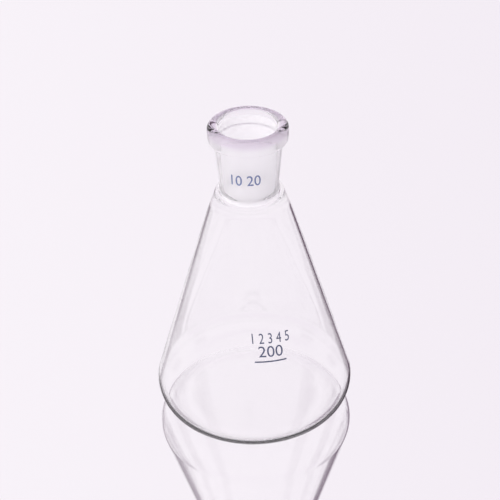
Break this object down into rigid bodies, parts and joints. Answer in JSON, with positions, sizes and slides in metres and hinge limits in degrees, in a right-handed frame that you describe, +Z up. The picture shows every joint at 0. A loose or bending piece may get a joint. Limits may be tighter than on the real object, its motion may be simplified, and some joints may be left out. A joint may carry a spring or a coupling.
{
  "type": "erlenmeyer flask",
  "caption": "Clear conical laboratory flask with a beaded ground taper socket at its mouth and a slightly pushed-up base.",
  "frame": {"origin": "middle of the foot, on the plane that the flask stands on", "axes": "+Z up along the flask's axis; the flask is round, and -Y faces the viewer and carries the print"},
  "size_m": [0.088, 0.088, 0.142],
  "materials": {
    "glass": "polished",
    "ground_glass": "satin",
    "print": "satin"
  },
  "bodies": {
    "root": {"flask": "glass"}
  },
  "joints": []
}
